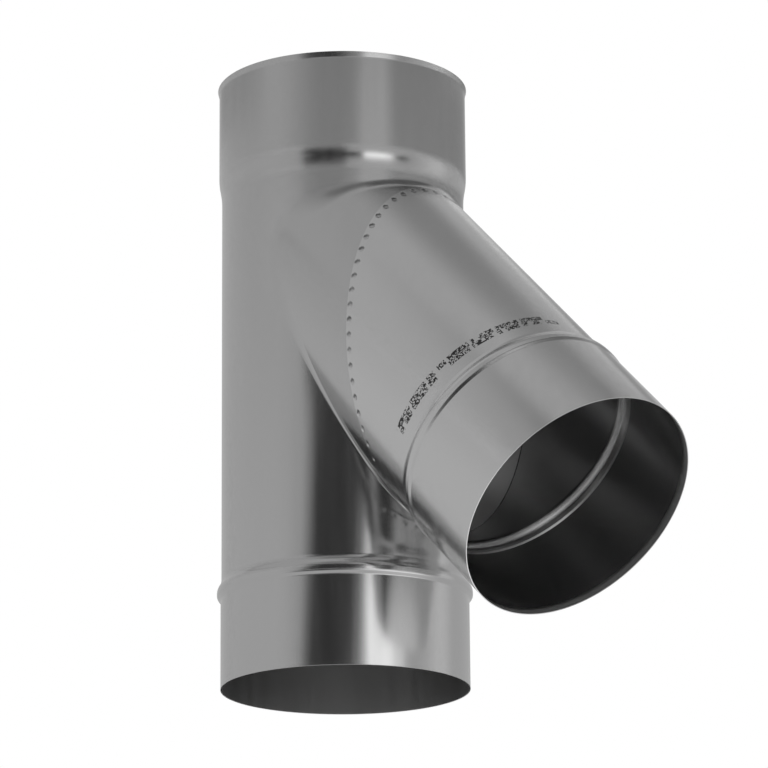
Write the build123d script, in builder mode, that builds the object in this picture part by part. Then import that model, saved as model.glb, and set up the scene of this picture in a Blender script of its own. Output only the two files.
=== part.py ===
"""Lateral wye fitting for single-wall flue pipe, in millimetres.

Two pieces of thin stainless sheet. The main tube has an expanded socket at its
top, a stop bead above its bottom spigot, and a collar drawn out of its side at
45 degrees. The branch tube is cut on one upright plane, slips over the collar
and is held there by a row of spot welds. It ends in a bead and a spigot too.

Frame: origin at the centre of the bottom rim, +Z up the main tube, and the
branch leans down towards +X.
"""

import math
import os

from build123d import *

# Sheet and main tube, with outside radii
sheet = 0.5
tube_radius = 75.0
socket_expansion = 1.8
socket_depth = 62.5
socket_cone_length = 11.5
socket_cone_round = 8.0
spigot_expansion = 0.5
spigot_length = 55.0

# Rolled stop bead, of one section on both spigots
bead_lower_flank = 2.8
bead_crest_width = 1.6
bead_upper_flank = 6.6
bead_crest_round = 1.0
bead_foot_round = 0.6
bead_shoulder_round = 5.0
tube_bead_height = 2.7
branch_bead_height = 2.2

# Slight outward flare of the socket's rim
rim_flare = 0.6
rim_flare_length = 9.0

# Branch, leaning down from the upright
branch_angle = 45.0
branch_reduction = 0.5
branch_spigot_expansion = 1.5
branch_spigot_length = 61.5

# Plain tube beside the crease: from the lower bead up to the crotch, from the top
# of the crease to the socket's cone, and from the crotch to the branch's bead
crotch_margin = 24.5
crease_margin = 4.4
branch_margin = 18.9

# Lap joint: the branch's edge lies on an upright plane, clear of the collar's bend
collar_bend_radius = 1.5
seam_clearance = 0.2
lap_length = 7.0
collar_clearance = 0.1

# Spot welds through the lap, each a shallow dent of the electrode
weld_inset = 2.2
weld_pitch = 9.5
weld_diameter = 3.2
weld_depth = 0.18

# Radii of the formed ends and of the branch, each from the main tube's own
socket_radius = tube_radius + socket_expansion
spigot_radius = tube_radius + spigot_expansion
branch_radius = tube_radius - branch_reduction
branch_spigot_radius = branch_radius + branch_spigot_expansion

# Stations up the main tube: the crease is as tall as two tubes of one radius make it
slope = math.radians(branch_angle)
bead_length = bead_lower_flank + bead_crest_width + bead_upper_flank
crotch_run = tube_radius / math.tan(slope / 2)
branch_axis_height = spigot_length + bead_length + crotch_margin + crotch_run
crease_top = branch_axis_height + tube_radius * math.tan(slope / 2)
cone_start = crease_top + crease_margin
cone_end = cone_start + socket_cone_length
overall_height = cone_end + socket_depth
flare_start = overall_height - rim_flare_length

# Branch axis from where the two axes meet to the mouth's centre
branch_length = crotch_run + branch_margin + bead_length + branch_spigot_length
branch_direction = Vector(math.sin(slope), 0, -math.cos(slope))
branch_upward = Vector(math.cos(slope), 0, math.sin(slope))
branch_origin = Vector(0, 0, branch_axis_height)
mouth_centre = branch_origin + branch_direction * branch_length

# Upright planes of the lap: the bend reaches furthest out at the crotch
bend_reach = collar_bend_radius * math.sin(slope) / math.tan(slope / 2)
seam_x = tube_radius + bend_reach + seam_clearance
collar_rim_x = seam_x + lap_length
collar_radius = branch_radius - sheet - collar_clearance

# Balls that press the dents, an equal pitch apart along the oval where the
# weld plane cuts the branch
weld_centre = branch_origin + branch_direction * ((seam_x + weld_inset) / math.sin(slope))
weld_plane = Plane(origin=weld_centre, x_dir=(0, 0, 1), z_dir=(1, 0, 0))
weld_line = Edge.make_ellipse(branch_radius / math.sin(slope), branch_radius, plane=weld_plane)
weld_count = round(weld_line.length / weld_pitch)
dent_ball_radius = (weld_diameter**2 / 4 + weld_depth**2) / (2 * weld_depth)
dent_axis_radius = branch_radius + dent_ball_radius - weld_depth


def dent_centre(share):
    """Centre of the ball over the weld at this share of the weld line."""
    spot = weld_line @ share
    foot = branch_origin + branch_direction * (spot - branch_origin).dot(branch_direction)
    return foot + (spot - foot).normalized() * dent_axis_radius


def bead_corners(foot, foot_radius, body_radius, height):
    """Corners and rounding radii of a bead's section, from its foot towards the body."""
    crest_start = foot + bead_lower_flank
    crest_end = crest_start + bead_crest_width
    crest_radius = body_radius + height
    corners = [
        (foot_radius, foot),
        (crest_radius, crest_start),
        (crest_radius, crest_end),
        (body_radius, crest_end + bead_upper_flank),
    ]
    rounds = [bead_foot_round, bead_crest_round, bead_crest_round, bead_shoulder_round]
    return corners, rounds


# Main tube: a turned form with the collar's stub, bent in along the crease,
# then hollowed to the sheet with its three ends open
tube_bead, tube_bead_rounds = bead_corners(spigot_length, spigot_radius, tube_radius, tube_bead_height)
tube_outline = [
    (spigot_radius, 0),
    *tube_bead,
    (tube_radius, cone_start),
    (socket_radius, cone_end),
    (socket_radius, flare_start),
    (socket_radius + rim_flare, overall_height),
]
tube_rounds = [*tube_bead_rounds, socket_cone_round, socket_cone_round, rim_flare_length]

with BuildPart() as main_tube:
    with BuildSketch(Plane.XZ):
        with BuildLine():
            FilletPolyline(*tube_outline, radius=tube_rounds)
            Polyline(tube_outline[-1], (0, overall_height), (0, 0), tube_outline[0])
        make_face()
    revolve(axis=Axis.Z)
    with BuildSketch(Plane(origin=branch_origin, x_dir=branch_upward, z_dir=branch_direction)):
        Circle(collar_radius)
    extrude(amount=branch_length)
    split(bisect_by=Plane(origin=(collar_rim_x, 0, 0), z_dir=(1, 0, 0)), keep=Keep.BOTTOM)
    crease = main_tube.edges().filter_by(GeomType.BSPLINE)
    fillet(crease, radius=collar_bend_radius)
    open_ends = [
        main_tube.faces().sort_by(Axis.Z)[0],
        main_tube.faces().sort_by(Axis.Z)[-1],
        main_tube.faces().sort_by(Axis.X)[-1],
    ]
    offset(amount=-sheet, openings=open_ends)
main_tube.part.label = "main_tube"

# Branch tube: turned about the branch axis with heights counted from its mouth,
# hollowed to the sheet, then cut on the upright seam plane
branch_bead, branch_bead_rounds = bead_corners(
    branch_spigot_length, branch_spigot_radius, branch_radius, branch_bead_height
)
branch_outline = [
    (branch_spigot_radius, 0),
    *branch_bead,
    (branch_radius, branch_length),
]

with BuildPart() as branch_tube:
    with BuildSketch(Plane(origin=mouth_centre, x_dir=branch_upward, z_dir=(0, -1, 0))):
        with BuildLine():
            FilletPolyline(*branch_outline, radius=branch_bead_rounds)
            Polyline(branch_outline[-1], (0, branch_length), (0, 0), branch_outline[0])
        make_face()
    revolve(axis=Axis(branch_origin, branch_direction))
    offset(amount=-sheet, openings=branch_tube.faces().filter_by(GeomType.PLANE))
    split(bisect_by=Plane(origin=(seam_x, 0, 0), z_dir=(1, 0, 0)), keep=Keep.TOP)
    with Locations(*[dent_centre(number / weld_count) for number in range(weld_count)]):
        Sphere(dent_ball_radius, mode=Mode.SUBTRACT)
branch_tube.part.label = "branch_tube"

os.makedirs("parts", exist_ok=True)
export_step(main_tube.part, "parts/main_tube.step")
export_step(branch_tube.part, "parts/branch_tube.step")
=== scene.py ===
"""Looks of a lateral wye fitting made of two pieces of bright rolled stainless sheet.

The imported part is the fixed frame: metres, origin at the centre of the bottom
rim, +Z up the main tube, and the branch leans down towards +X. Each sheet is
worked out as a smooth skin with numpy, given its thickness, and stands for its
CAD node. The sheets' own sizes are in millimetres, and those of the finishes,
the camera and the studio are in metres and degrees.
"""

from __future__ import annotations

import logging
import math
from dataclasses import dataclass, field
from enum import Enum

import bpy
import numpy as np
from mathutils import Matrix, Vector

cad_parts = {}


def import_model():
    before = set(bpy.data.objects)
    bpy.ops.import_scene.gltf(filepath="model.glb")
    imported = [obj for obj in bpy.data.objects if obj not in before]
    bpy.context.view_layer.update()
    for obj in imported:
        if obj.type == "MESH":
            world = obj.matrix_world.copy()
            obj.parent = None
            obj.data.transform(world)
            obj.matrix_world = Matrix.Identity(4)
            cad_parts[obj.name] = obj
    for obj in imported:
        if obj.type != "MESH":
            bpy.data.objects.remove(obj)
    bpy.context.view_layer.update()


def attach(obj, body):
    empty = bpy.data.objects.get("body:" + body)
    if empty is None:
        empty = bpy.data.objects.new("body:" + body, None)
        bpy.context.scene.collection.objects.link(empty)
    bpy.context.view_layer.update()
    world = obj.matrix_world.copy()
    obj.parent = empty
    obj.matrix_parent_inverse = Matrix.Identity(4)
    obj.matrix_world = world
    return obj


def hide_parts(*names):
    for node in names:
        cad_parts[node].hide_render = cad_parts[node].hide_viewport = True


log = logging.getLogger("wye")

MM = 0.001
Array = np.ndarray
Socket = bpy.types.NodeSocket


class Side(Enum):
    """The two faces of a sheet, by material index."""

    OUTSIDE = 0
    INSIDE = 1


def unit(vectors: Array) -> Array:
    """Vectors divided by their own lengths."""
    return vectors / np.linalg.norm(vectors, axis=-1, keepdims=True)


def polar(radius: Array, turn: Array, height: Array) -> Array:
    """Points on a turned surface: radius times cosine and sine of the turn, and the height."""
    return np.stack(np.broadcast_arrays(radius * np.cos(turn), radius * np.sin(turn), height), axis=-1)


def closed(grid: Array) -> Array:
    """A grid with its first column repeated after its last."""
    return np.hstack([grid, grid[:, :1]])


def fronts(points: Array, quads: Array) -> Array:
    """Cross product of each quad's diagonals, which stands on the quad's front."""
    corner = points[quads]
    return np.cross(corner[:, 2] - corner[:, 0], corner[:, 3] - corner[:, 1])


@dataclass(frozen=True)
class Section:
    """Outer outline of a turned wall, from one end to the other.

    Attributes:
        station: Distances along the axis.
        radius: Radii at the stations.
        out: Share of the outward normal that points away from the axis.
        along: Share of the outward normal that points along the axis.
    """

    station: Array
    radius: Array
    out: Array
    along: Array

    @classmethod
    def rounded(cls, corners: list[tuple[float, float]], rounds: list[float], steps: int) -> Section:
        """Makes an outline of straight runs with tangent arcs at the inner corners.

        Each arc's centre stands on the corner's bisector, at the rounding radius
        over the sine of the half angle, and its points swing about that centre
        with the normal turned evenly from the first run's to the second's.

        Args:
            corners: Radius and station of each corner, stations rising.
            rounds: Rounding radius of each inner corner.
            steps: Divisions of an arc.

        Returns:
            The outline with its normals.
        """
        corner = np.array(corners, float)
        rho = np.array(rounds, float)[:, None]
        run = unit(np.diff(corner, axis=0))
        normal = np.stack([run[:, 1], -run[:, 0]], axis=-1)
        back, ahead = -run[:-1], run[1:]
        half = np.arccos(np.clip((back * ahead).sum(-1), -1, 1))[:, None] / 2
        centre = corner[1:-1] + unit(back + ahead) * rho / np.sin(half)
        start = corner[1:-1] + back * rho / np.tan(half)
        hand = np.sign(((start - centre) * normal[:-1]).sum(-1))[:, None, None]
        angle = np.arctan2(normal[:, 1], normal[:, 0])
        share = np.linspace(0, 1, steps + 1)
        swing = angle[:-1, None] + (angle[1:] - angle[:-1])[:, None] * share
        facing = np.stack([np.cos(swing), np.sin(swing)], axis=-1)
        arcs = centre[:, None] + hand * rho[:, None] * facing
        points = np.vstack([corner[:1], arcs.reshape(-1, 2), corner[-1:]])
        normals = np.vstack([normal[:1], facing.reshape(-1, 2), normal[-1:]])
        return cls(points[:, 1], points[:, 0], normals[:, 0], normals[:, 1])

    def between(self, low: float, high: float) -> Section:
        """The outline's own points strictly between two stations."""
        inside = (self.station > low) & (self.station < high)
        return Section(self.station[inside], self.radius[inside], self.out[inside], self.along[inside])


@dataclass(frozen=True)
class Bead:
    """Rolled stop bead between a spigot and the wall behind it.

    Attributes:
        lower_flank: Length of the steep side, next to the spigot.
        crest: Width of the crest.
        upper_flank: Length of the long side.
        foot_round: Rounding at the spigot.
        low_crest_round: Rounding between the steep side and the crest.
        high_crest_round: Rounding between the crest and the long side.
        shoulder_round: Rounding where the long side runs out.
    """

    lower_flank: float = 2.0
    crest: float = 4.0
    upper_flank: float = 4.0
    foot_round: float = 1.0
    low_crest_round: float = 2.2
    high_crest_round: float = 6.0
    shoulder_round: float = 8.5

    @property
    def length(self) -> float:
        """Length from the foot to the shoulder."""
        return self.lower_flank + self.crest + self.upper_flank

    @property
    def rounds(self) -> list[float]:
        """Rounding radii of the four corners, from the foot on."""
        return [self.foot_round, self.low_crest_round, self.high_crest_round, self.shoulder_round]

    def corners(self, foot: float, spigot: float, body: float, height: float) -> list[tuple[float, float]]:
        """Places the bead's four corners.

        Args:
            foot: Station of the foot.
            spigot: Radius of the spigot.
            body: Radius of the wall behind the bead.
            height: How far the crest stands out of that wall.

        Returns:
            Radius and station of each corner.
        """
        rise = foot + self.lower_flank
        return [
            (spigot, foot),
            (body + height, rise),
            (body + height, rise + self.crest),
            (body, foot + self.length),
        ]


@dataclass(frozen=True)
class BranchAxis:
    """Axis of the branch, from its start on the main axis.

    Attributes:
        height: Height where the two axes meet.
        lean: Angle between the branch and the lower part of the main axis.
    """

    height: float
    lean: float

    @property
    def start(self) -> Array:
        """The point where the two axes meet."""
        return np.array([0.0, 0.0, self.height])

    @property
    def direction(self) -> Array:
        """Unit vector from the start to the mouth."""
        return np.array([math.sin(self.lean), 0.0, -math.cos(self.lean)])

    @property
    def upward(self) -> Array:
        """Unit vector square to the axis, towards the branch's top line."""
        return np.array([math.cos(self.lean), 0.0, math.sin(self.lean)])

    def outward(self, turn: Array) -> Array:
        """Unit vectors away from the axis, turned from the top line towards -Y."""
        side = np.array([0.0, -1.0, 0.0])
        return np.cos(turn)[..., None] * self.upward + np.sin(turn)[..., None] * side

    def point(self, along: Array, radius: Array, turn: Array) -> Array:
        """Points so far along the axis, at a radius and a turn about it."""
        aside = np.asarray(radius)[..., None] * self.outward(turn)
        return self.start + along[..., None] * self.direction + aside

    def along_to_plane(self, x: float, radius: Array, turn: Array) -> Array:
        """How far along the axis a line of the wall meets the upright plane at x.

        A point's x is along times the sine of the lean, plus the radius times the
        cosines of the turn and of the lean, and this solves that for along.
        """
        return (x - radius * np.cos(turn) * math.cos(self.lean)) / math.sin(self.lean)


@dataclass
class Skin:
    """Outer and inner face of one sheet while its mesh is put together.

    Attributes:
        outer: Blocks of points on the outer face.
        inner: The same points on the inner face.
        outer_normals: Outward normals of the outer face.
        inner_normals: The wall's own normals at the inner face.
        quads: Blocks of four point numbers.
        coords: Pattern coordinates of each quad's four corners.
        rims: Rings of point numbers where the sheet is cut, with the cut's facing.
    """

    outer: list[Array] = field(default_factory=list)
    inner: list[Array] = field(default_factory=list)
    outer_normals: list[Array] = field(default_factory=list)
    inner_normals: list[Array] = field(default_factory=list)
    quads: list[Array] = field(default_factory=list)
    coords: list[Array] = field(default_factory=list)
    rims: list[tuple[Array, Array]] = field(default_factory=list)

    def add(self, points: Array, normals: Array, inner: Array, inner_normals: Array | None = None) -> Array:
        """Adds a grid of points.

        Args:
            points: Points of the outer face.
            normals: Their outward normals.
            inner: The points below them on the inner face.
            inner_normals: The wall's normals there, where they differ.

        Returns:
            The points' numbers, in the grid's own shape.
        """
        count = sum(len(block) for block in self.outer)
        self.outer.append(points.reshape(-1, 3))
        self.inner.append(inner.reshape(-1, 3))
        self.outer_normals.append(normals.reshape(-1, 3))
        chosen = normals if inner_normals is None else inner_normals
        self.inner_normals.append(chosen.reshape(-1, 3))
        shape = points.shape[:-1]
        return np.arange(count, count + int(np.prod(shape))).reshape(shape)

    def knit(self, grid: Array, across: Array | None = None, up: Array | None = None) -> None:
        """Joins neighbouring rows and columns of a grid of point numbers with quads.

        Args:
            grid: Point numbers; a closed ring repeats its first column at the end.
            across: First pattern coordinate at each place of the grid.
            up: Second pattern coordinate at each place of the grid.
        """

        def corners(values: Array) -> Array:
            """The four corners of each cell, in turning order."""
            cells = (values[:-1, :-1], values[:-1, 1:], values[1:, 1:], values[1:, :-1])
            return np.stack(cells, axis=-1).reshape(-1, 4)

        quads = corners(grid)
        flat = np.zeros(grid.shape)
        pattern = np.stack([corners(flat if values is None else values) for values in (across, up)], axis=-1)
        normals = np.concatenate(self.outer_normals)
        if (fronts(np.concatenate(self.outer), quads) * normals[quads[:, 0]]).sum() < 0:
            quads, pattern = quads[:, ::-1], pattern[:, ::-1]
        self.quads.append(quads)
        self.coords.append(pattern)

    def mesh(self, name: str) -> bpy.types.Mesh:
        """Closes the sheet and writes it as a mesh in metres.

        The inner face repeats the outer quads in reverse order, and each rim is a
        band of quads square to the sheet that faces the way the cut does. Normals
        are the surface's own at every corner of every quad.

        Args:
            name: The mesh's name.

        Returns:
            The closed mesh with its pattern coordinates and two material indices.
        """
        points = np.concatenate([*self.outer, *self.inner])
        count = len(points) // 2
        quads, coords = np.concatenate(self.quads), np.concatenate(self.coords)
        faces = [quads, quads[:, ::-1] + count]
        outer_normals, inner_normals = np.concatenate(self.outer_normals), np.concatenate(self.inner_normals)
        normals = [outer_normals[quads], -inner_normals[quads[:, ::-1]]]
        pattern = [coords, coords[:, ::-1]]
        for ring, facing in self.rims:
            ahead = np.roll(ring, -1)
            band = np.stack([ring, ahead, ahead + count, ring + count], axis=-1)
            if (fronts(points, band) @ facing).sum() < 0:
                band = band[:, ::-1]
            faces.append(band)
            normals.append(np.broadcast_to(facing, (len(band), 4, 3)))
            pattern.append(np.zeros((len(band), 4, 2)))
        mesh = bpy.data.meshes.new(name)
        every = np.concatenate(faces)
        mesh.from_pydata((points * MM).tolist(), [], every.tolist())
        index = np.full(len(every), Side.OUTSIDE.value, np.int32)
        index[len(quads) : 2 * len(quads)] = Side.INSIDE.value
        mesh.polygons.foreach_set("material_index", index)
        mesh.polygons.foreach_set("use_smooth", np.ones(len(every), bool))
        layer = mesh.uv_layers.new(name="sheet")
        layer.data.foreach_set("uv", (np.concatenate(pattern) * MM).astype(np.float32).ravel())
        mesh.normals_split_custom_set(unit(np.concatenate(normals)).reshape(-1, 3).tolist())
        mesh.update()
        return mesh


@dataclass
class Sheet:
    """What both pieces share: the sheet, the radii and where the branch leaves the tube.

    Attributes:
        thickness: Thickness of the sheet.
        tube_radius: Outer radius of the main tube's plain wall.
        branch_radius: Outer radius of the branch's plain wall.
        bead: Section of both stop beads.
        axis: Axis of the branch.
        collar_clearance: Gap between the collar and the branch around it.
        seam_x: Upright plane that cuts the branch's edge.
        lap: How far the collar reaches past that plane, inside the branch.
    """

    thickness: float = 0.5
    tube_radius: float = 75.0
    branch_radius: float = 74.5
    bead: Bead = field(default_factory=Bead)
    axis: BranchAxis = field(default_factory=lambda: BranchAxis(271.566, math.radians(45)))
    collar_clearance: float = 0.1
    seam_x: float = 77.761
    lap: float = 7.0

    def lay(self, skin: Skin, points: Array, normals: Array) -> Array:
        """Adds points of the outer face, with those of the inner face one thickness below.

        Args:
            skin: The skin that takes them.
            points: The points.
            normals: Their outward normals, in a shape that fits the points.

        Returns:
            The points' numbers.
        """
        normals = np.broadcast_to(normals, points.shape)
        return skin.add(points, normals, points - self.thickness * normals)

    def place(
        self, mesh: bpy.types.Mesh, node: str, slot: str, finishes: list[bpy.types.Material]
    ) -> bpy.types.Object:
        """Puts a mesh in the scene for a CAD node, with its finishes.

        Args:
            mesh: The finished mesh.
            node: The CAD node it stands for.
            slot: The record's material slot; not used.
            finishes: Materials of the outside and the inside.

        Returns:
            The new object.
        """
        piece = bpy.data.objects.new(mesh.name, mesh)
        bpy.context.scene.collection.objects.link(piece)
        for finish in finishes:
            mesh.materials.append(finish)
        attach(piece, "root")
        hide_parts(node)
        log.info("%s: %d quads, in place of %s", mesh.name, len(mesh.polygons), node)
        return piece


@dataclass
class MainTube(Sheet):
    """Main tube with its socket, bead and spigot, and the collar drawn out of its side."""

    # Turned wall: the spigot, the bead, the socket above its cone, and the rim's flare
    spigot_radius: float = 75.5
    spigot_length: float = 55.0
    bead_height: float = 2.7
    cone_start: float = 310.6
    cone_length: float = 9.0
    cone_low_round: float = 50.0
    cone_high_round: float = 41.0
    socket_radius: float = 76.8
    socket_depth: float = 61.432
    flare: float = 0.88
    flare_length: float = 3.4
    flare_round: float = 4.0
    arc_steps: int = 6

    # Bend into the collar: its radius at the crotch and at the top of the crease, and
    # the bell that widens it on the side, by its height, its middle in degrees from
    # the branch's top line, and its spreads before and after that
    crotch_bend: float = 1.5
    top_bend: float = 8.5
    side_swell: float = 2.9
    side_turn: float = 86.0
    side_spread: tuple[float, float] = (42.0, 26.0)
    bend_steps: int = 12
    collar_rows: int = 3

    # Window in the wall around the collar: its heights, its half angle, and the turns
    # about the branch, in degrees from its top line, that run to its upper and lower
    # corners. The columns stand one degree apart.
    window_low: float = 80.0
    window_high: float = 306.6
    window_half_angle: float = 90.0
    window_corners: tuple[int, int] = (75, 120)
    window_steps: int = 14
    back_columns: int = 120

    @property
    def height(self) -> float:
        """Overall height."""
        return self.cone_start + self.cone_length + self.socket_depth

    @property
    def collar_radius(self) -> float:
        """Outer radius of the collar, inside the branch."""
        return self.branch_radius - self.thickness - self.collar_clearance

    def section(self) -> Section:
        """Works out the outline of the turned wall.

        Returns:
            The outline, from the bottom rim to the top one.
        """
        cone_end = self.cone_start + self.cone_length
        flare_start = self.height - self.flare_length
        corners = [
            (self.spigot_radius, 0.0),
            *self.bead.corners(self.spigot_length, self.spigot_radius, self.tube_radius, self.bead_height),
            (self.tube_radius, self.cone_start),
            (self.socket_radius, cone_end),
            (self.socket_radius, flare_start),
            (self.socket_radius + self.flare, self.height),
        ]
        rounds = [*self.bead.rounds, self.cone_low_round, self.cone_high_round, self.flare_round]
        return Section.rounded(corners, rounds, self.arc_steps)

    def bend(self, turn: Array) -> tuple[Array, Array]:
        """Works out the bend between the tube's wall and the collar.

        A ball rolls outside along both walls. The logarithm of its radius goes from
        the crotch's to the top's with half of one plus the cosine of the turn, and
        a bell on the side, where the walls are nearly tangent, is added to it. The
        centre's path is where a tube wider by the ball's radius meets a collar
        wider by the same. Each row of the bend swings about the centre from the
        touching point on the tube to the one on the collar, with the normal
        towards the centre.

        Args:
            turn: Turns about the branch axis, one for each column.

        Returns:
            Points and normals of shape (rows, columns, 3), from the tube's wall on.
        """
        share = (1 + np.cos(turn)) / 2
        plain = math.log(self.crotch_bend) * (1 - share) + math.log(self.top_bend) * share
        aside = np.degrees(abs(turn)) - self.side_turn
        spread = np.where(aside < 0, *self.side_spread)
        ball = np.exp(plain + self.side_swell * np.exp(-((aside / spread) ** 2)))
        wide_tube, wide_collar = self.tube_radius + ball, self.collar_radius + ball
        x = np.sqrt(wide_tube**2 - (wide_collar * np.sin(turn)) ** 2)
        along = self.axis.along_to_plane(x, wide_collar, turn)
        centre = self.axis.point(along, wide_collar, turn)
        to_tube = -unit(centre * [1, 1, 0])
        to_collar = -self.axis.outward(turn)
        angle = np.arccos(np.clip((to_tube * to_collar).sum(-1), -1, 1))[:, None]
        step = np.linspace(0, 1, self.bend_steps + 1)[:, None, None]
        swing = (np.sin((1 - step) * angle) * to_tube + np.sin(step * angle) * to_collar) / np.sin(angle)
        return centre + ball[:, None] * swing, -swing

    def build(self, finishes: list[bpy.types.Material]) -> bpy.types.Object:
        """Builds the tube's mesh and puts it in the scene.

        The wall is a turned outline, apart from a window around the collar. The
        columns of its foot and top run on from the window's lower and upper side,
        and the wall behind the window joins its other two sides.

        Args:
            finishes: Materials of the outside and the inside.

        Returns:
            The main tube's object.
        """
        skin = Skin()
        edge, edge_turn, edge_height = self.window(skin)
        back_turn = np.linspace(self.window_half_angle, 360 - self.window_half_angle, self.back_columns + 1)
        back_turn = np.radians(back_turn)[1:-1]
        upper, lower = self.window_corners
        low = (np.arange(lower, 361 - lower) + 180) % 360
        high = np.arange(upper, -upper - 1, -1) + 180
        right, left = np.arange(-lower, 1 - upper) + 180, np.arange(lower, upper - 1, -1) + 180
        back = self.wall(skin, back_turn, edge_height[right][:, None])
        skin.knit(np.hstack([edge[right][:, None], back, edge[left][:, None]]))

        outline = self.section()
        foot = outline.between(-math.inf, self.window_low)
        rows = self.turned(skin, foot, np.r_[edge_turn[low], back_turn])
        skin.knit(closed(np.vstack([rows, np.r_[edge[low], back[0]]])))
        skin.rims.append((rows[0], np.array([0.0, 0.0, -1.0])))
        top = outline.between(self.window_high, math.inf)
        rows = self.turned(skin, top, np.r_[edge_turn[high], back_turn])
        skin.knit(closed(np.vstack([np.r_[edge[high], back[-1]], rows])))
        skin.rims.append((rows[-1], np.array([0.0, 0.0, 1.0])))
        return self.place(skin.mesh("main_tube_sheet"), "main_tube", "tube_steel", finishes)

    def window(self, skin: Skin) -> tuple[Array, Array, Array]:
        """Adds the wall inside the window, with the collar in its middle.

        A line leaves the bend's edge at each degree about the branch axis, and
        degree 0, the top line, is number 180. It runs straight, in turn and height,
        to the window's edge, so the wall stays an exact cylinder.

        Args:
            skin: The skin that takes it.

        Returns:
            Numbers, turns about the main axis and heights of the window's edge.
        """
        degrees = np.arange(-180, 180)
        bend, hole = self.draw_collar(skin, np.radians(degrees))
        hole_turn = np.unwrap(np.arctan2(hole[:, 1], hole[:, 0]))
        hole_turn -= 2 * np.pi * np.round(hole_turn.mean() / (2 * np.pi))
        stops = [0, *self.window_corners, 180]
        turns = [0, self.window_half_angle, self.window_half_angle, 0]
        heights = [self.window_high, self.window_high, self.window_low, self.window_low]
        edge_turn = -np.sign(degrees) * np.radians(np.interp(abs(degrees), stops, turns))
        edge_height = np.interp(abs(degrees), stops, heights)
        share = np.linspace(0, 1, self.window_steps + 1)[1:, None]
        ray_turn = hole_turn + (edge_turn - hole_turn) * share
        ray_height = hole[:, 2] + (edge_height - hole[:, 2]) * share
        rays = self.wall(skin, ray_turn, ray_height)
        skin.knit(closed(np.vstack([bend, rays])))
        return rays[-1], edge_turn, edge_height

    def draw_collar(self, skin: Skin, turn: Array) -> tuple[Array, Array]:
        """Adds the bend and the collar, which runs straight from there to its upright rim.

        Args:
            skin: The skin that takes them.
            turn: Turns about the branch axis, one for each column.

        Returns:
            Numbers and points of the bend's edge on the tube's wall.
        """
        points, normals = self.bend(turn)
        bend = self.lay(skin, points, normals)
        skin.knit(closed(bend))
        start = (points[-1] - self.axis.start) @ self.axis.direction
        share = np.linspace(0, 1, self.collar_rows + 1)[1:, None]
        faces = []
        for radius in (self.collar_radius, self.collar_radius - self.thickness):
            rim = self.axis.along_to_plane(self.seam_x + self.lap, radius, turn)
            faces.append(self.axis.point(start + (rim - start) * share, np.array(radius), turn))
        rows = skin.add(faces[0], np.broadcast_to(self.axis.outward(turn), faces[0].shape), faces[1])
        skin.knit(closed(np.vstack([bend[-1:], rows])))
        skin.rims.append((rows[-1], np.array([1.0, 0.0, 0.0])))
        return bend[0], points[0]

    def wall(self, skin: Skin, turn: Array, height: Array) -> Array:
        """Adds points of the plain cylindrical wall.

        Args:
            skin: The skin that takes them.
            turn: Turns about the main axis.
            height: Heights, in a shape that fits the turns.

        Returns:
            The points' numbers.
        """
        normals = polar(np.array(1.0), turn, np.array(0.0))
        return self.lay(skin, polar(np.array(self.tube_radius), turn, height), normals)

    def turned(self, skin: Skin, outline: Section, turn: Array) -> Array:
        """Adds rings of an outline that is turned about the main axis.

        The sheet's two ends are cut square to the axis, so the inner points of
        an end keep its height.

        Args:
            skin: The skin that takes them.
            outline: The outline's stations, radii and normals.
            turn: Turns about the main axis, one for each column.

        Returns:
            The points' numbers, one row for each station.
        """
        points = polar(outline.radius[:, None], turn, outline.station[:, None])
        normals = polar(outline.out[:, None], turn, outline.along[:, None])
        inner = points - self.thickness * normals
        ends = np.isclose(outline.station, 0) | np.isclose(outline.station, self.height)
        inner[ends, :, 2] = points[ends, :, 2]
        return skin.add(points, normals, inner)


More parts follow.
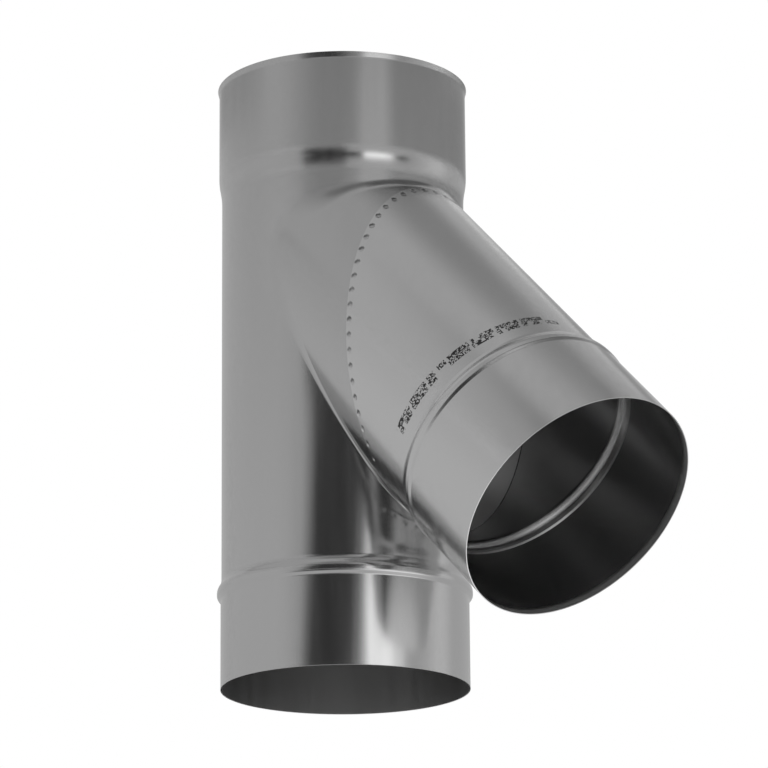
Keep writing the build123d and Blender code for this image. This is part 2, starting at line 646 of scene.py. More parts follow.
@dataclass
class BranchTube(Sheet):
    """Branch tube, cut on the upright seam plane, with a row of weld dents beside the cut."""

    # Turned end, and the length from where the axes meet to the mouth
    spigot_radius: float = 76.0
    spigot_length: float = 61.5
    bead_height: float = 2.2
    length: float = 272.466
    arc_steps: int = 4

    # Welds: their row's distance past the seam, and each one's dent
    weld_inset: float = 2.2
    weld_count: int = 60
    dent_radius: float = 2.1
    dent_depth: float = 0.42

    # Stain and painted shade in the dents: how fast the painted shade grows with the
    # slope that faces down, the stain's veil over the rest, the strength of the
    # faintest, and the seed of the strengths
    painted_shade_growth: float = 3.4
    soot_veil: float = 0.4
    stain_and_shade_least: float = 0.6
    stain_and_shade_seed: int = 8

    # Grid: close columns and rows for the welds, then a few plain rows that end short
    # of the bead by a margin. The oval's length is summed up in fine steps.
    columns_per_weld: int = 16
    dent_rows: int = 15
    dent_row_step: float = 0.47
    plain_rows: int = 3
    bead_margin: float = 3.0
    oval_steps: int = 7200

    @property
    def plain_end(self) -> float:
        """Distance along the axis where the plain wall ends."""
        return self.length - self.spigot_length - self.bead.length - self.bead_margin

    def columns(self) -> tuple[Array, Array]:
        """Spreads the columns evenly along the oval of the welds.

        The oval's length is summed up over fine steps of the turn, each as long as
        the radius times the step, stretched by the slant of the cut.

        Returns:
            The columns' turns about the branch axis, and their distance along the
            oval from the nearest weld.
        """
        fine = np.linspace(0, 2 * np.pi, self.oval_steps + 1)
        slant = np.sin(fine) / math.tan(self.axis.lean)
        speed = self.branch_radius * np.sqrt(1 + slant**2)
        run = np.r_[0, np.cumsum((speed[1:] + speed[:-1]) / 2 * np.diff(fine))]
        count = self.weld_count * self.columns_per_weld
        place = np.arange(count) / count * run[-1]
        pitch = run[-1] / self.weld_count
        return np.interp(place, run, fine), (place + pitch / 2) % pitch - pitch / 2

    def dents(self, turn: Array, from_weld: Array, past_weld: Array) -> tuple[Array, Array, Array]:
        """Works out the weld dents on the band beside the seam.

        Each is a shallow pan: the depth falls as the square of one less the fourth
        power of the distance over the dent's radius, and the slope is that formula's
        derivative. The distance is taken in the sheet, from steps along the slanting
        oval and along the axis.

        Args:
            turn: Turns of the columns.
            from_weld: Distance of each column from its nearest weld, along the oval.
            past_weld: Distance of each row past the weld line, along the axis, in one
                column.

        Returns:
            Depths, and the depth's slopes around and along the branch.
        """
        slant = np.sin(turn) / math.tan(self.axis.lean)
        stretch = np.sqrt(1 + slant**2)
        around = np.broadcast_to(from_weld / stretch, (len(past_weld), len(turn)))
        along = from_weld * slant / stretch + past_weld
        spread = (around**2 + along**2) / self.dent_radius**2
        fall = np.clip(1 - spread**2, 0, None)
        slope = -8 * self.dent_depth * fall * spread / self.dent_radius**2
        return self.dent_depth * fall**2, slope * around, slope * along

    def build(self, finishes: list[bpy.types.Material]) -> bpy.types.Object:
        """Builds the branch's mesh and puts it in the scene.

        The first pattern coordinate is the distance round the branch, from its top
        line, and the second is the distance from the mouth.

        Args:
            finishes: Materials of the outside and the inside.

        Returns:
            The branch tube's object.
        """
        skin = Skin()
        turn, from_weld = self.columns()
        near, band, weld_stain_and_shade = self.seam_band(skin, turn, from_weld)
        plain, run = self.plain_wall(skin, turn, band[-1])
        turned, rows = self.turned(skin, turn)
        grid = np.vstack([near, plain, turned])
        reach = np.vstack([band, run, rows])
        across = np.broadcast_to(self.branch_radius * np.r_[turn, 2 * np.pi], (len(grid), len(turn) + 1))
        skin.knit(closed(grid), across, self.length - closed(reach))
        skin.rims.append((grid[0], np.array([-1.0, 0.0, 0.0])))
        skin.rims.append((grid[-1], self.axis.direction))
        mesh = skin.mesh("branch_tube_sheet")
        # The weld dents' stain and painted shade, kept on the points for the material.
        everywhere = np.zeros(len(mesh.vertices), np.float32)
        everywhere[: near.size] = weld_stain_and_shade.ravel()
        layer = mesh.attributes.new("weld", "FLOAT", "POINT")
        layer.data.foreach_set("value", everywhere)
        return self.place(mesh, "branch_tube", "branch_steel", finishes)

    def seam_band(self, skin: Skin, turn: Array, from_weld: Array) -> tuple[Array, Array, Array]:
        """Adds the rows beside the seam, each a fixed distance from it, with the dents.

        A dent sinks the outer face along its normal, and leaves the inner one as it is.

        Args:
            skin: The skin that takes them.
            turn: Turns of the columns.
            from_weld: Distance of each column from its nearest weld, along the oval.

        Returns:
            The points' numbers, their distance along the axis and how far stain
            and painted shade darken them.
        """
        outward = self.axis.outward(turn)
        around = self.axis.outward(turn + np.pi / 2)
        inner_radius = self.branch_radius - self.thickness
        seam = self.axis.along_to_plane(self.seam_x, self.branch_radius, turn)
        inner_seam = self.axis.along_to_plane(self.seam_x, inner_radius, turn)
        offsets = np.arange(self.dent_rows)[:, None] * self.dent_row_step
        band = seam + offsets
        inner_band = np.where(offsets > 0, band, inner_seam)
        past_weld = offsets - self.weld_inset / math.sin(self.axis.lean)
        depth, slope_around, slope_along = self.dents(turn, from_weld, past_weld)
        points = self.axis.point(band, self.branch_radius - depth, turn)
        normals = outward + slope_around[..., None] * around + slope_along[..., None] * self.axis.direction
        inner = self.axis.point(inner_band, np.array(inner_radius), turn)
        numbers = skin.add(points, unit(normals), inner, np.broadcast_to(outward, points.shape))
        # The dents' sides that face down are darkened by their slope: painted shade.
        rise = slope_around * around[:, 2] + slope_along * self.axis.direction[2]
        return numbers, band, self.stain_and_painted_shade(depth, rise)

    def plain_wall(self, skin: Skin, turn: Array, start: Array) -> tuple[Array, Array]:
        """Adds evenly spread rows of the plain wall, as far as the bead's margin.

        Args:
            skin: The skin that takes them.
            turn: Turns of the columns.
            start: Distance along the axis where each column starts.

        Returns:
            The points' numbers and their distance along the axis.
        """
        share = np.linspace(0, 1, self.plain_rows + 1)[1:, None]
        run = start + (self.plain_end - start) * share
        points = self.axis.point(run, np.array(self.branch_radius), turn)
        return self.lay(skin, points, self.axis.outward(turn)), run

    def turned(self, skin: Skin, turn: Array) -> tuple[Array, Array]:
        """Adds rings of the turned end, from the bead's margin to the mouth.

        Args:
            skin: The skin that takes them.
            turn: Turns of the columns.

        Returns:
            The points' numbers and their distance along the axis.
        """
        corners = [
            (self.spigot_radius, 0.0),
            *self.bead.corners(self.spigot_length, self.spigot_radius, self.branch_radius, self.bead_height),
            (self.branch_radius, self.length),
        ]
        outline = Section.rounded(corners, self.bead.rounds, self.arc_steps)
        end = outline.between(-math.inf, self.length - self.plain_end)
        parts = (end.station, end.radius, end.out, end.along)
        station, radius, out, along = (part[::-1, None] for part in parts)
        rows = np.broadcast_to(self.length - station, (len(station), len(turn)))
        points = self.axis.point(rows, radius, turn)
        normals = out[..., None] * self.axis.outward(turn) - along[..., None] * self.axis.direction
        return self.lay(skin, points, normals), rows

    def stain_and_painted_shade(self, depth: Array, rise: Array) -> Array:
        """Works out how far each dent is darkened, from 0 to 1.

        Painted shade darkens the side of the dent that faces down, in proportion
        to its slope, and a thin stain veils the whole dent. Each weld has its own
        strength.

        Args:
            depth: Depths of the dents.
            rise: Upward part of the surface's tilt there.

        Returns:
            The darkening.
        """
        count = self.weld_count * self.columns_per_weld
        nearest = (np.arange(count) + self.columns_per_weld // 2) // self.columns_per_weld % self.weld_count
        strength = np.random.default_rng(self.stain_and_shade_seed).uniform(self.stain_and_shade_least, 1.0, self.weld_count)
        veil = self.soot_veil * np.sqrt(depth / self.dent_depth)
        return np.clip(veil - self.painted_shade_growth * rise, 0, 1) * strength[nearest]


@dataclass(frozen=True)
class Wiring:
    """Nodes of a material or a world while they are put together.

    Attributes:
        tree: Their node tree.
    """

    tree: bpy.types.NodeTree

    def feed(self, socket: Socket, term: Socket | float) -> None:
        """Links an output to a socket, or sets the socket to a number.

        Args:
            socket: The socket that takes it.
            term: The output or the number.
        """
        if isinstance(term, bpy.types.NodeSocket):
            self.tree.links.new(term, socket)
        else:
            socket.default_value = term

    def value(self, operation: str, *terms: Socket | float) -> Socket:
        """Adds a Math node.

        Args:
            operation: What it works out.
            terms: Its inputs, in order.

        Returns:
            Its output.
        """
        node = self.tree.nodes.new("ShaderNodeMath")
        node.operation = operation
        for socket, term in zip(node.inputs, terms):
            self.feed(socket, term)
        return node.outputs[0]

    def product(self, first: Socket, *others: Socket) -> Socket:
        """Multiplies outputs with one another.

        Args:
            first: The first of them.
            others: The rest.

        Returns:
            Their product.
        """
        for other in others:
            first = self.value("MULTIPLY", first, other)
        return first

    def ranged(
        self, term: Socket, start: tuple[float, float], end: tuple[float, float], smooth: bool = False
    ) -> Socket:
        """Adds a Map Range node.

        Args:
            term: What it reads.
            start: Two values of the input.
            end: What they become; the input is held between them.
            smooth: Whether it eases in and out.

        Returns:
            Its output.
        """
        node = self.tree.nodes.new("ShaderNodeMapRange")
        node.interpolation_type = "SMOOTHSTEP" if smooth else "LINEAR"
        self.feed(node.inputs["Value"], term)
        for name, number in zip(("From Min", "From Max", "To Min", "To Max"), (*start, *end)):
            self.feed(node.inputs[name], number)
        return node.outputs["Result"]

    def chance(self, across: Socket, up: Socket | float) -> Socket:
        """Adds the random number of a whole-numbered place.

        Args:
            across: The place's first number.
            up: Its second number.

        Returns:
            The random number, from 0 to 1.
        """
        place = self.tree.nodes.new("ShaderNodeCombineXYZ")
        self.feed(place.inputs[0], across)
        self.feed(place.inputs[1], up)
        random = self.tree.nodes.new("ShaderNodeTexWhiteNoise")
        random.noise_dimensions = "2D"
        self.feed(random.inputs["Vector"], place.outputs[0])
        return random.outputs["Value"]

    def pattern(self, layer: str) -> tuple[Socket, Socket, Socket]:
        """Reads a piece's pattern coordinates.

        Args:
            layer: The coordinates' name.

        Returns:
            The first and second coordinate, and both together.
        """
        pattern = self.tree.nodes.new("ShaderNodeUVMap")
        pattern.uv_map = layer
        split = self.tree.nodes.new("ShaderNodeSeparateXYZ")
        self.feed(split.inputs[0], pattern.outputs["UV"])
        return split.outputs[0], split.outputs[1], pattern.outputs["UV"]


@dataclass(frozen=True)
class Ink:
    """Two rows of sprayed dots on the branch, in groups that spell nothing.

    Attributes:
        tone: Linear grey of the ink.
        start: Distance round the branch, from its top line, where the rows start.
        end: Distance round the branch where they end.
        rows: Distances of the rows' middles from the mouth.
        shift: How far the second row stands back from the first.
        height: Height of a row.
        dot: Pitch of the dots.
        fill: Share of the dots that are inked.
        patch: How many columns of dots come or go together.
        group: Length of a group of dots, with the gap before it.
        gap: Share of that length which is the gap.
        kept: Share of the patches that are there, and of the groups.
        dot_seed: First seed of the dots.
        seed_step: Step from one row's seed of the dots to the next one's.
        patch_seed: First seed of the patches.
        group_seed: First seed of the groups.
    """

    tone: float = 0.006
    start: float = 0.008
    end: float = 0.137
    rows: tuple[float, float] = (0.0828, 0.0866)
    shift: float = 0.0011
    height: float = 0.0037
    dot: float = 0.00075
    fill: float = 0.6
    patch: float = 4.0
    group: float = 0.017
    gap: float = 0.12
    kept: float = 0.9
    dot_seed: float = 17.0
    seed_step: float = 40.0
    patch_seed: float = 5.0
    group_seed: float = 9.0

    def mask(self, wiring: Wiring) -> Socket:
        """Makes the nodes that tell inked places from bare metal.

        Each row is laid on a grid of dots. A dot is inked where a random number of
        its own, one of its patch of columns and one of its group are all under
        their limits, and it lies in the row, outside its group's gap, and between
        the start and the end.

        Args:
            wiring: Nodes of the metal's material.

        Returns:
            The mask, 1 where there is ink.
        """
        value, chance = wiring.value, wiring.chance
        across, up = wiring.pattern("sheet")[:2]
        inked = []
        for number, row in enumerate(self.rows):
            shifted = value("ADD", across, self.shift * number)
            from_row = value("SUBTRACT", up, row)
            column = value("FLOOR", value("DIVIDE", shifted, self.dot))
            level = value("FLOOR", value("DIVIDE", from_row, self.dot))
            level = value("ADD", level, self.dot_seed + self.seed_step * number)
            patch = value("FLOOR", value("DIVIDE", column, self.patch))
            groups = value("DIVIDE", shifted, self.group)
            limits = (
                value("LESS_THAN", value("ABSOLUTE", from_row), self.height / 2),
                value("GREATER_THAN", value("FRACT", groups), self.gap),
                value("LESS_THAN", chance(column, level), self.fill),
                value("LESS_THAN", chance(patch, self.patch_seed + number), self.kept),
                value("LESS_THAN", chance(value("FLOOR", groups), self.group_seed + number), self.kept),
            )
            inked.append(wiring.product(*limits))
        begun = value("GREATER_THAN", across, self.start)
        running = value("LESS_THAN", across, self.end)
        return wiring.product(value("MAXIMUM", *inked), begun, running)


@dataclass(frozen=True)
class Steel:
    """Bright rolled stainless sheet.

    Attributes:
        tone: Linear grey of the metal.
        roughness: Middle roughness.
        wander: How far the roughness strays from it.
        lean: Lean of the tube that the rolling streaks follow, in radians.
        streaks: How often the streaks change across the tube, both ways, and along
            it, in a metre.
        streak_detail: How many times the streaks are split finer.
        streak_range: Values of the noise between which the roughness strays.
        stain_and_shade_strength: How far the welds' stain and painted shade darken the metal, from 0 to 1.
        edge: Width of the deburred band at the mouth, 0 for none.
        edge_core: Share of that band which is worn in full.
        edge_wear: Roughness that the deburring adds.
        groove: Distance from the mouth of the groove inside the bead, whose grey
        is raised as a painted highlight, 0 for none.
        groove_width: Width of that groove.
        groove_highlight_tone: Linear grey of that painted highlight.
        ink: Marking on the metal, where it has one.
    """

    tone: float = 0.56
    roughness: float = 0.2
    wander: float = 0.03
    lean: float = 0.0
    streaks: tuple[float, float, float] = (160.0, 160.0, 9.0)
    streak_detail: float = 3.0
    streak_range: tuple[float, float] = (0.3, 0.7)
    stain_and_shade_strength: float = 0.0
    edge: float = 0.0
    edge_core: float = 0.4
    edge_wear: float = 0.3
    groove: float = 0.0
    groove_width: float = 0.0104
    groove_highlight_tone: float = 0.95
    ink: Ink | None = None

    def material(self, name: str) -> bpy.types.Material:
        """Makes the metal, and what the work has left on it.

        Args:
            name: The material's name.

        Returns:
            The material.
        """
        # Besides what the work has left, this paints a highlight into the bead's groove and shade into the
        # weld dents.
        made = bpy.data.materials.new(name)
        made.use_nodes = True
        wiring = Wiring(made.node_tree)
        shader = made.node_tree.nodes["Principled BSDF"].inputs
        shader["Base Color"].default_value = (self.tone, self.tone, self.tone, 1)
        shader["Metallic"].default_value = 1.0
        roughness, grey = self.streaked(wiring), None
        if self.edge:
            up = wiring.pattern("sheet")[1]
            band = (self.edge_core * self.edge, self.edge)
            worn = wiring.ranged(up, band, (self.edge_wear, 0.0), smooth=True)
            roughness = wiring.value("ADD", worn, roughness)
        # The groove inside the bead gets a brighter grey: a painted highlight.
        if self.groove:
            up = wiring.pattern("sheet")[1]
            painted_highlight_band = wiring.value("COMPARE", up, self.groove, self.groove_width / 2)
            grey = wiring.ranged(painted_highlight_band, (0.0, 1.0), (self.tone, self.groove_highlight_tone))
        # The welds darken the grey: a stain over each dent and painted shade on its sides that face down.
        if self.stain_and_shade_strength:
            weld_stain_and_shade = made.node_tree.nodes.new("ShaderNodeAttribute")
            weld_stain_and_shade.attribute_name = "weld"
            grey = wiring.ranged(weld_stain_and_shade.outputs["Fac"], (0.0, 1.0), (self.tone, self.tone * (1 - self.stain_and_shade_strength)))
        if self.ink:
            mask = self.ink.mask(wiring)
            wiring.feed(shader["Metallic"], wiring.ranged(mask, (0.0, 1.0), (1.0, 0.0)))
            tinted = made.node_tree.nodes.new("ShaderNodeMix")
            wiring.feed(tinted.inputs["Factor"], mask)
            wiring.feed(tinted.inputs["A"], self.tone if grey is None else grey)
            wiring.feed(tinted.inputs["B"], self.ink.tone)
            grey = tinted.outputs["Result"]
        wiring.feed(shader["Roughness"], roughness)
        if grey is not None:
            wiring.feed(shader["Base Color"], grey)
        return made

    def streaked(self, wiring: Wiring) -> Socket:
        """Makes the roughness, with faint streaks of noise along the tube.

        Args:
            wiring: Nodes of the metal's material.

        Returns:
            The roughness.
        """
        nodes = wiring.tree.nodes
        coords = nodes.new("ShaderNodeTexCoord")
        mapping = nodes.new("ShaderNodeMapping")
        mapping.inputs["Rotation"].default_value = (0, self.lean, 0)
        mapping.inputs["Scale"].default_value = self.streaks
        noise = nodes.new("ShaderNodeTexNoise")
        noise.inputs["Scale"].default_value = 1.0
        noise.inputs["Detail"].default_value = self.streak_detail
        wiring.feed(mapping.inputs["Vector"], coords.outputs["Object"])
        wiring.feed(noise.inputs["Vector"], mapping.outputs["Vector"])
        ends = (self.roughness - self.wander, self.roughness + self.wander)
        return wiring.ranged(noise.outputs["Fac"], self.streak_range, ends)


@dataclass(frozen=True)
class Viewpoint:
    """Where the camera stands.

    Attributes:
        azimuth: Direction it stands in, 0 looking along +Y and 90 along -X.
        elevation: Its height above the horizon.
        roll: Its turn about its own line of sight.
        distance: From the point it looks at.
        aside: How far that point is to the right of the main axis.
        height: The height of that point.
        lens: Focal length, in millimetres.
        frame: Width of the picture that the lens makes, in millimetres.
        clip: Nearest and farthest distance that it sees.
    """

    azimuth: float = 44.862
    elevation: float = -15.505
    roll: float = -0.472
    distance: float = 2.6718
    aside: float = 0.02474
    height: float = 0.19179
    lens: float = 203.51
    frame: float = 36.0
    clip: tuple[float, float] = (0.05, 100.0)

    def place(self) -> None:
        """Makes the scene's camera.

        Its back points away from what it sees, and its right and top are the level
        line and the line square to both, turned by the roll.
        """
        turn, tilt, roll = map(math.radians, (self.azimuth, self.elevation, self.roll))
        back = Vector((math.sin(turn) * math.cos(tilt), -math.cos(turn) * math.cos(tilt), math.sin(tilt)))
        level = Vector((math.cos(turn), math.sin(turn), 0))
        raised = back.cross(level)
        right = level * math.cos(roll) + raised * math.sin(roll)
        top = raised * math.cos(roll) - level * math.sin(roll)
        spot = right * self.aside + Vector((0, 0, self.height)) + back * self.distance
        rows = [[right[i], top[i], back[i], spot[i]] for i in range(3)]
        data = bpy.data.cameras.new("camera")
        data.lens, data.sensor_width = self.lens, self.frame
        data.clip_start, data.clip_end = self.clip
        camera = bpy.data.objects.new("camera", data)
        camera.matrix_world = Matrix([*rows, [0, 0, 0, 1]])
        bpy.context.scene.collection.objects.link(camera)
        bpy.context.scene.camera = camera


class Course(Enum):
    """Ways across a card in which it can fade, by pattern coordinate."""

    ACROSS = 0
    UP = 1
    OUT = 2


@dataclass(frozen=True)
class Fade:
    """One soft edge of a card.

    Attributes:
        course: The way it fades.
        clear: Value of the pattern coordinate where the card is clear.
        full: Value where it glows in full.
    """

    course: Course
    clear: float
    full: float


@dataclass(frozen=True)
class GlossCard:
    """Studio card that only the gloss sees.

    Attributes:
        name: The card's name.
        tone: Brightness, where 1 is white.
    """

    name: str
    tone: float

    def show(self, points: Array, faces: Array, coords: Array, fades: list[Fade]) -> None:
        """Puts the card in the scene so that only reflections show it.

        Args:
            points: Its points.
            faces: Point numbers of each face.
            coords: Pattern coordinates of the points.
            fades: Its soft edges.
        """
        mesh = bpy.data.meshes.new(self.name)
        mesh.from_pydata(points.tolist(), [], faces.tolist())
        layer = mesh.uv_layers.new(name="card")
        layer.data.foreach_set("uv", coords[faces].astype(np.float32).ravel())
        mesh.materials.append(self.glow(fades))
        card = bpy.data.objects.new(self.name, mesh)
        bpy.context.scene.collection.objects.link(card)
        card.visible_camera = card.visible_diffuse = card.visible_shadow = False
        card.visible_transmission = card.visible_volume_scatter = False

    def glow(self, fades: list[Fade]) -> bpy.types.Material:
        """Makes the card's finish: an even glow that fades out towards its edges.

        Each fade rises smoothly from 0 where the card is clear to 1 where it is
        full, and the fades are multiplied together.

        Args:
            fades: The soft edges.

        Returns:
            The material.
        """
        made = bpy.data.materials.new(self.name)
        made.use_nodes = True
        made.cycles.emission_sampling = "NONE"
        nodes = made.node_tree.nodes
        nodes.clear()
        wiring = Wiring(made.node_tree)
        across, up, both = wiring.pattern("card")
        length = nodes.new("ShaderNodeVectorMath")
        length.operation = "LENGTH"
        wiring.feed(length.inputs[0], both)
        sources = {Course.ACROSS: across, Course.UP: up, Course.OUT: length.outputs["Value"]}
        masks = []
        for fade in fades:
            rising = fade.full > fade.clear
            start = (fade.clear, fade.full) if rising else (fade.full, fade.clear)
            end = (0.0, 1.0) if rising else (1.0, 0.0)
            masks.append(wiring.ranged(sources[fade.course], start, end, smooth=True))
        clear_part = nodes.new("ShaderNodeBsdfTransparent")
        light = nodes.new("ShaderNodeEmission")
        light.inputs["Color"].default_value = (1, 1, 1, 1)
        light.inputs["Strength"].default_value = self.tone
        mix = nodes.new("ShaderNodeMixShader")
        output = nodes.new("ShaderNodeOutputMaterial")
        wiring.feed(mix.inputs[0], wiring.product(*masks))
        wiring.feed(mix.inputs[1], clear_part.outputs["BSDF"])
        wiring.feed(mix.inputs[2], light.outputs["Emission"])
        wiring.feed(output.inputs["Surface"], mix.outputs["Shader"])
        return made


@dataclass(frozen=True)
class Card(GlossCard):
    """Upright card that is curved round the part.

    Attributes:
        reach: Radius of its curve about the main axis.
        middle: Azimuth of its middle, from +X towards +Y.
        half_width: Half of its angle.
        low: Height of its lower edge.
        high: Height of its upper edge.
        side_fade: Angle over which its sides fade out, inside the half width.
        far_fade: The same for the side of the greater azimuth, where it differs.
        low_fade: Height over which its lower edge fades out.
        high_fade: Height over which its upper edge fades out.
        slant: How far its top leans aside from its foot, in degrees a metre.
        columns: Divisions of its curve.
    """

    reach: float
    middle: float
    half_width: float
    low: float
    high: float
    side_fade: float = 10.0
    far_fade: float | None = None
    low_fade: float = 0.03
    high_fade: float = 0.03
    slant: float = 0.0
    columns: int = 24

    def build(self) -> None:
        """Makes the card as a grid of equal angles.

        The pattern coordinates are the angle over the half width, from -1 to 1,
        and the share of the height, from 0 to 1.
        """
        share = np.linspace(-1, 1, self.columns + 1)
        height = np.array([self.low, self.high])[:, None]
        turn = np.radians(self.middle + self.half_width * share + self.slant * (height - self.low))
        points = polar(np.array(self.reach), turn, height).reshape(-1, 3)
        below = np.arange(self.columns)
        quads = np.stack([below, below + 1, below + self.columns + 2, below + self.columns + 1], axis=-1)
        coords = np.stack(np.broadcast_arrays(share, np.array([0.0, 1.0])[:, None]), axis=-1).reshape(-1, 2)
        rise = self.high - self.low
        far_fade = self.side_fade if self.far_fade is None else self.far_fade
        fades = [
            Fade(Course.ACROSS, -1.0, -1.0 + self.side_fade / self.half_width),
            Fade(Course.ACROSS, 1.0, 1.0 - far_fade / self.half_width),
            Fade(Course.UP, 0.0, self.low_fade / rise),
            Fade(Course.UP, 1.0, 1.0 - self.high_fade / rise),
        ]
        self.show(points, quads, coords, fades)


@dataclass(frozen=True)
class Canopy(GlossCard):
    """Round flat card overhead or underfoot.

    Attributes:
        centre: Its middle.
        radius: Its radius.
        fade: Width of the ring over which its edge fades out.
        columns: Divisions of its edge.
    """

    centre: tuple[float, float, float]
    radius: float
    fade: float
    columns: int = 48

    def build(self) -> None:
        """Makes the card as a fan whose pattern coordinates are 1 long at its edge."""
        turn = np.arange(self.columns) * 2 * np.pi / self.columns
        ring = polar(np.array(self.radius), turn, np.array(0.0))
        points = np.vstack([np.zeros((1, 3)), ring]) + self.centre
        first = np.arange(self.columns) + 1
        fans = np.stack([np.zeros(self.columns, int), first, np.roll(first, -1)], axis=-1)
        coords = (points - np.array(self.centre))[:, :2] / self.radius
        self.show(points, fans, coords, [Fade(Course.OUT, 1.0, 1.0 - self.fade / self.radius)])


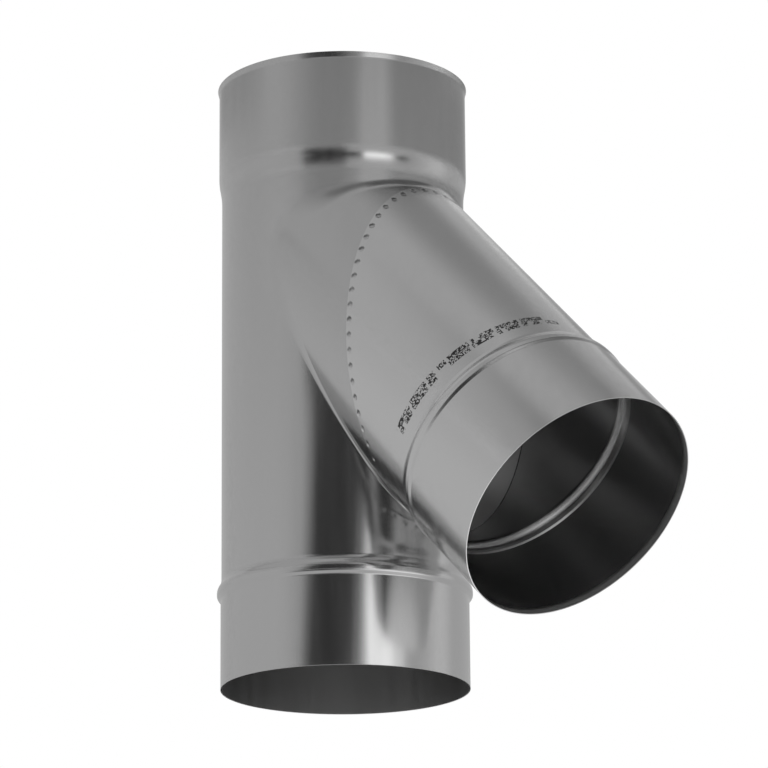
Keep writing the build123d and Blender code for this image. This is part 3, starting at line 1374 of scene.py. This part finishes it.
@dataclass
class Studio:
    """Pale floor, white surround, and the cards that the steel reflects.

    Attributes:
        floor_tone: Linear grey of the floor.
        floor_roughness: Its roughness.
        floor_size: Its width.
        daylight: Strength of the surround, where 1 is white.
        cards: The cards.
    """

    floor_tone: float = 0.85
    floor_roughness: float = 0.9
    floor_size: float = 8.0
    daylight: float = 1.0
    cards: tuple[Card | Canopy, ...] = (
        Card(
            "back_sweep", 0.531, 0.7, 150.0, 110.0, -0.3, 0.95,
            side_fade=30.0, low_fade=0.02, high_fade=0.35,
        ),
        Card(
            "grey_sweep", 0.494, 0.62, -50.0, 125.0, -0.3, 0.5,
            side_fade=60.0, low_fade=0.02, high_fade=0.12,
        ),
        Card(
            "upper_sweep", 0.494, 0.64, -50.0, 135.0, 0.38, 2.0,
            side_fade=50.0, low_fade=0.1, high_fade=0.3,
        ),
        Card("low_light", 0.556, 0.54, -130.0, 45.0, -0.1, 0.45, side_fade=20.0, high_fade=0.3),
        Card(
            "dark_flag", 0.0438, 0.5, -66.25, 30.85, -0.1, 0.335,
            side_fade=14.0, far_fade=17.5, low_fade=0.02, high_fade=0.05, slant=50.0,
        ),
        Card(
            "cone_flag", 0.0375, 0.48, -60.0, 23.2, 0.27, 0.46,
            side_fade=10.0, low_fade=0.03, high_fade=0.15,
        ),
        Card(
            "side_flag", 0.075, 0.495, -12.0, 26.0, 0.15, 0.33,
            side_fade=6.0, low_fade=0.03, high_fade=0.05,
        ),
        Card("bright_strip", 1.44, 0.49, -14.0, 16.0, -0.1, 0.2, side_fade=5.0, high_fade=0.07),
        Card("narrow_strip", 1.5, 0.485, -24.8, 2.6, 0.14, 0.213, side_fade=2.0, high_fade=0.025),
        Card("second_strip", 1.0, 0.485, 1.5, 7.0, -0.1, 0.225, side_fade=4.0, high_fade=0.03),
        Card(
            "cone_light", 1.69, 0.475, -14.0, 15.0, 0.23, 0.35,
            side_fade=4.0, low_fade=0.03, high_fade=0.06,
        ),
        Card("small_flag", 0.0625, 0.475, 9.5, 6.0, 0.22, 0.35, side_fade=3.0, high_fade=0.06),
        Card("dark_ring", 0.325, 0.52, -10.0, 95.0, 0.39, 1.2, side_fade=45.0, low_fade=0.08, high_fade=0.3),
        Card(
            "left_ring", 0.36, 0.53, -157.0, 47.0, 0.485, 0.6,
            side_fade=14.0, far_fade=20.0, low_fade=0.06, high_fade=0.05,
        ),
        Card("right_ring", 0.312, 0.53, 75.0, 45.0, 0.43, 0.6, side_fade=20.0, low_fade=0.05, high_fade=0.06),
        Card(
            "light_strip", 0.531, 0.51, -17.0, 20.0, 0.4, 0.62,
            side_fade=12.0, low_fade=0.03, high_fade=0.08,
        ),
        Card("high_flag", 0.187, 0.5, -48.0, 28.0, 0.52, 0.95, side_fade=14.0, low_fade=0.12, high_fade=0.25),
        Card("arc_flag", 0.125, 0.5, 13.0, 49.0, 0.54, 1.35, side_fade=14.0, low_fade=0.1, high_fade=0.2),
        Canopy("overhead_grey", 0.469, (0.0, 0.0, 1.4), 1.8, 0.5),
        Canopy("overhead_dark", 0.281, (0.0, 0.3, 1.3), 0.6, 0.45),
        Canopy("floor_grey", 0.55, (0.0, 0.0, 0.0002), 1.6, 0.6),
        Canopy("floor_dark", 0.06, (0.11, -0.17, 0.0003), 0.12, 0.06),
        Canopy("floor_light", 1.1, (0.175, -0.02, 0.0004), 0.11, 0.06),
    )

    def build(self) -> None:
        """Makes the surround, the floor and the cards."""
        self.surround()
        self.floor()
        for card in self.cards:
            card.build()
            log.info("card %s: tone %.2f", card.name, card.tone)
        bpy.context.scene.view_settings.view_transform = "Standard"

    def surround(self) -> None:
        """Makes even white light from all round, which is the white background too."""
        world = bpy.data.worlds.new("surround")
        bpy.context.scene.world = world
        world.use_nodes = True
        nodes = world.node_tree.nodes
        nodes.clear()
        background = nodes.new("ShaderNodeBackground")
        background.inputs["Color"].default_value = (1, 1, 1, 1)
        background.inputs["Strength"].default_value = self.daylight
        output = nodes.new("ShaderNodeOutputWorld")
        Wiring(world.node_tree).feed(output.inputs["Surface"], background.outputs["Background"])

    def floor(self) -> None:
        """Makes a pale sheet under the part that is see-through from below."""
        half = self.floor_size / 2
        corners = [(-half, -half, 0), (half, -half, 0), (half, half, 0), (-half, half, 0)]
        mesh = bpy.data.meshes.new("floor")
        mesh.from_pydata(corners, [], [(0, 1, 2, 3)])
        floor = bpy.data.objects.new("floor", mesh)
        bpy.context.scene.collection.objects.link(floor)
        made = bpy.data.materials.new("floor")
        made.use_nodes = True
        nodes, wiring = made.node_tree.nodes, Wiring(made.node_tree)
        shader = nodes["Principled BSDF"]
        shader.inputs["Base Color"].default_value = (self.floor_tone, self.floor_tone, self.floor_tone, 1)
        shader.inputs["Roughness"].default_value = self.floor_roughness
        shader.inputs["Specular IOR Level"].default_value = 0.0
        see_through = nodes.new("ShaderNodeBsdfTransparent")
        mix = nodes.new("ShaderNodeMixShader")
        geometry = nodes.new("ShaderNodeNewGeometry")
        wiring.feed(mix.inputs[0], geometry.outputs["Backfacing"])
        wiring.feed(mix.inputs[1], shader.outputs["BSDF"])
        wiring.feed(mix.inputs[2], see_through.outputs["BSDF"])
        wiring.feed(nodes["Material Output"].inputs["Surface"], mix.outputs["Shader"])
        mesh.materials.append(made)


def main() -> None:
    """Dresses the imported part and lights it."""
    logging.basicConfig(level=logging.INFO, format="%(name)s: %(message)s")
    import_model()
    tube, branch = MainTube(), BranchTube()
    lean = branch.axis.lean
    groove = (branch.spigot_length + branch.bead.length / 2) * MM
    plain, dull = Steel(), Steel(tone=0.5, roughness=0.32)
    # The branch's outside carries the print, and the welds' stain and painted shade.
    marked = Steel(tone=0.67, lean=lean, stain_and_shade_strength=0.92, ink=Ink())
    # The branch's inside has a darker grey than its outside, which is painted shade, a painted highlight in
    # the bead's groove, and a rougher deburred band at the mouth.
    inside_shade_highlight_and_wear = Steel(tone=0.42, roughness=0.25, wander=0.01, lean=lean, edge=0.006, groove=groove)
    tube.build([plain.material("tube_steel"), dull.material("tube_steel_inside")])
    branch.build([marked.material("branch_steel"), inside_shade_highlight_and_wear.material("branch_steel_inside")])
    Studio().build()
    Viewpoint().place()


if __name__ == "__main__":
    main()
